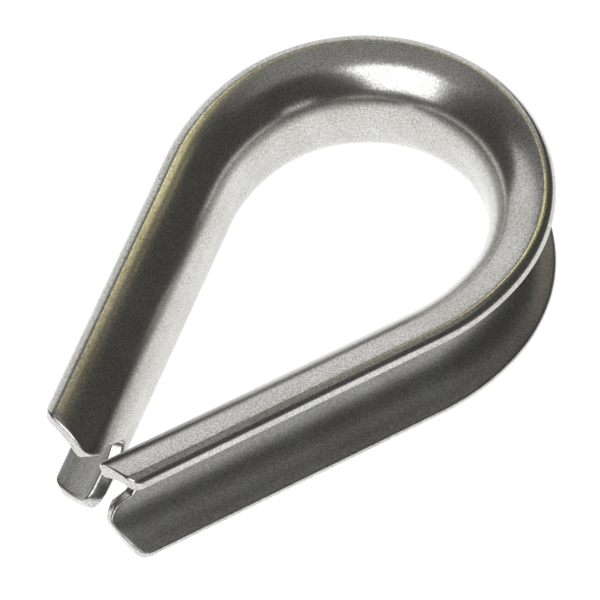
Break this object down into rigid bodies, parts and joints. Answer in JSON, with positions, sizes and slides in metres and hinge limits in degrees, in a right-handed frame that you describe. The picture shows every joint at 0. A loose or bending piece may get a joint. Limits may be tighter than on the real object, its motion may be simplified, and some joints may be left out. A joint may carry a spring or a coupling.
{
  "type": "wire rope thimble",
  "caption": "Teardrop thimble of formed stainless strip that lines the eye of a wire rope and takes a pin or shackle through it.",
  "frame": {"origin": "centre of the round bearing face of the eye, halfway between the two flanges", "axes": "+X from the leg ends to the crown, along the line of pull; +Z across the channel, along a pin through the eye; +Y across the eye"},
  "size_m": [0.0471, 0.0306, 0.011],
  "materials": {
    "stainless": "tumble-polished stainless steel with fine grain and light handling scratches"
  },
  "bodies": {
    "root": {"thimble_body": "stainless"}
  },
  "joints": []
}
